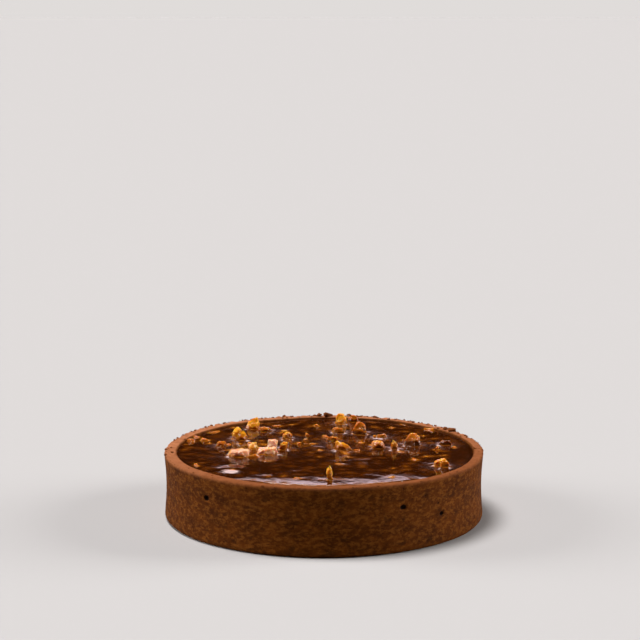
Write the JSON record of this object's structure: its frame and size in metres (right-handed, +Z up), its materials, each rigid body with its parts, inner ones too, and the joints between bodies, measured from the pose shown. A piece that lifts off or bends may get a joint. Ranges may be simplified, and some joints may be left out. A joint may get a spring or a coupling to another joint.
{
  "type": "chocolate tart",
  "caption": "Round straight-sided chocolate tart: cocoa shortcrust shell, glossy chocolate caramel filling and chopped nuts on top.",
  "frame": {"origin": "middle of the shell's underside, on the surface that the tart stands on", "axes": "+Z up out of the filling; -Y is the front, +X the right"},
  "size_m": [0.1002, 0.1, 0.0252],
  "materials": {
    "cocoa_pastry": "matte baked cocoa shortcrust, fine crumb with small pores",
    "chocolate_caramel": "wet-looking gloss, deep brown, amber where it is thin",
    "glazed_nut": "roasted nut under a thin clear glaze"
  },
  "bodies": {
    "root": {"crust": "cocoa_pastry", "filling": "chocolate_caramel", "nut_01": "glazed_nut", "nut_02": "glazed_nut", "nut_03": "glazed_nut", "nut_04": "glazed_nut", "nut_05": "glazed_nut", "nut_06": "glazed_nut", "nut_07": "glazed_nut", "nut_08": "glazed_nut", "nut_09": "glazed_nut", "nut_10": "glazed_nut", "nut_11": "glazed_nut", "nut_12": "glazed_nut", "nut_13": "glazed_nut", "nut_14": "glazed_nut", "nut_15": "glazed_nut", "nut_16": "glazed_nut", "nut_17": "glazed_nut", "nut_18": "glazed_nut", "nut_19": "glazed_nut", "nut_20": "glazed_nut", "nut_21": "glazed_nut", "nut_22": "glazed_nut", "nut_23": "glazed_nut"}
  },
  "joints": []
}
